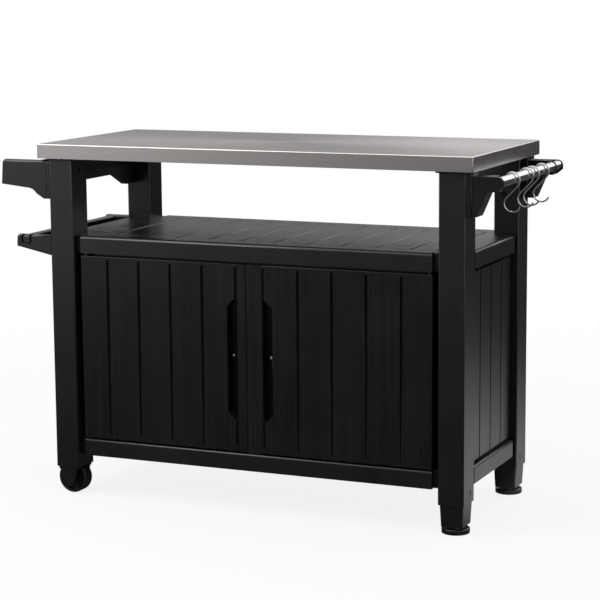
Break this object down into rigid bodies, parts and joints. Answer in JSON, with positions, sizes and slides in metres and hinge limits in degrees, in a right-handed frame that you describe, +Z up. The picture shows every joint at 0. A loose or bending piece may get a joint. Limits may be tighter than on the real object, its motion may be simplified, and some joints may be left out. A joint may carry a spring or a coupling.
{
  "type": "grill cart",
  "caption": "Outdoor grill cart with a steel work top, an open shelf over a cabinet with doors, a bottle tray and bag holder at the left, and a towel bar with S-hooks at the right.",
  "frame": {"origin": "on the floor, under the centre of the bounding box", "axes": "+X along the long side, from the bottle tray towards the towel bar; +Y from the doors towards the back; +Z up"},
  "size_m": [1.338, 0.516, 0.9],
  "materials": {
    "steel_sheet": "satin",
    "resin": "satin",
    "foot_resin": "satin",
    "wheel": "satin",
    "bar": "polished",
    "hook": "polished",
    "ring": "matte",
    "zinc": "satin",
    "brass": "satin"
  },
  "bodies": {
    "cart": {"back_panel": "resin", "bag_holder": "resin", "bottle_tray": "resin", "bracket_screws": "zinc", "cabinet_floor": "resin", "door_catch": "resin", "foot_nuts": "brass", "front_foot_cap": "foot_resin", "front_left_leg": "resin", "front_rail": "resin", "front_right_leg": "resin", "front_top_rail": "resin", "front_towel_arm": "resin", "front_wheel_fork": "resin", "left_apron": "resin", "left_panel": "resin", "left_rail": "resin", "left_top_rail": "resin", "leg_heads": "resin", "rear_foot_cap": "foot_resin", "rear_left_leg": "resin", "rear_rail": "resin", "rear_right_leg": "resin", "rear_top_rail": "resin", "rear_towel_arm": "resin", "rear_wheel_fork": "resin", "right_apron": "resin", "right_panel": "resin", "right_rail": "resin", "right_top_rail": "resin", "shelf_deck": "resin", "steel_top": "steel_sheet", "top_panel": "resin", "top_ribs": "resin", "top_screws": "zinc", "towel_bar": "bar", "towel_bar_ring": "ring", "wheel_axles": "zinc"},
    "left_door": {"left_door_skin": "resin", "left_door_liner": "resin", "left_door_pins": "resin", "left_door_screw": "zinc"},
    "right_door": {"right_door_skin": "resin", "right_door_liner": "resin", "right_door_pins": "resin", "right_door_screw": "zinc"},
    "front_roller": {"front_wheel": "wheel"},
    "rear_roller": {"rear_wheel": "wheel"},
    "front_foot": {"front_foot_pad": "foot_resin", "front_foot_stem": "zinc"},
    "rear_foot": {"rear_foot_pad": "foot_resin", "rear_foot_stem": "zinc"},
    "hook_1": {"s_hook_1": "hook"},
    "hook_2": {"s_hook_2": "hook"},
    "hook_3": {"s_hook_3": "hook"},
    "hook_4": {"s_hook_4": "hook"},
    "front_clip": {"front_bag_clip": "resin"},
    "rear_clip": {"rear_bag_clip": "resin"}
  },
  "joints": [
    {"name": "left_door_hinge", "type": "hinge", "parent": "cart", "child": "left_door", "pos_m": [-0.438, -0.226, 0.39], "axis": [0, 0, -1], "range_deg": [0, 110]},
    {"name": "right_door_hinge", "type": "hinge", "parent": "cart", "child": "right_door", "pos_m": [0.48, -0.226, 0.39], "axis": [0, 0, 1], "range_deg": [0, 110]},
    {"name": "front_wheel_spin", "type": "hinge", "parent": "cart", "child": "front_roller", "pos_m": [-0.4975, -0.204, 0.04], "axis": [0, 1, 0], "continuous": true},
    {"name": "rear_wheel_spin", "type": "hinge", "parent": "cart", "child": "rear_roller", "pos_m": [-0.4975, 0.204, 0.04], "axis": [0, 1, 0], "continuous": true},
    {"name": "front_foot_screw", "type": "slide", "parent": "cart", "child": "front_foot", "axis": [0, 0, -1], "range_m": [0, 0.012]},
    {"name": "rear_foot_screw", "type": "slide", "parent": "cart", "child": "rear_foot", "axis": [0, 0, -1], "range_m": [0, 0.012]},
    {"name": "hook_1_swing", "type": "hinge", "parent": "cart", "child": "hook_1", "pos_m": [0.649, -0.131, 0.84], "axis": [0, 1, 0], "range_deg": [-40, 40]},
    {"name": "hook_2_swing", "type": "hinge", "parent": "cart", "child": "hook_2", "pos_m": [0.649, -0.025, 0.84], "axis": [0, 1, 0], "range_deg": [-40, 40]},
    {"name": "hook_3_swing", "type": "hinge", "parent": "cart", "child": "hook_3", "pos_m": [0.649, 0.022, 0.84], "axis": [0, 1, 0], "range_deg": [-40, 40]},
    {"name": "hook_4_swing", "type": "hinge", "parent": "cart", "child": "hook_4", "pos_m": [0.649, 0.101, 0.84], "axis": [0, 1, 0], "range_deg": [-40, 40]},
    {"name": "front_clip_flex", "type": "hinge", "parent": "cart", "child": "front_clip", "pos_m": [-0.6015, -0.226, 0.6709], "axis": [-1, 0, 0], "range_deg": [0, 12], "stiffness_Nm_per_rad": 0.4},
    {"name": "rear_clip_flex", "type": "hinge", "parent": "cart", "child": "rear_clip", "pos_m": [-0.6015, 0.226, 0.6709], "axis": [1, 0, 0], "range_deg": [0, 12], "stiffness_Nm_per_rad": 0.4}
  ]
}
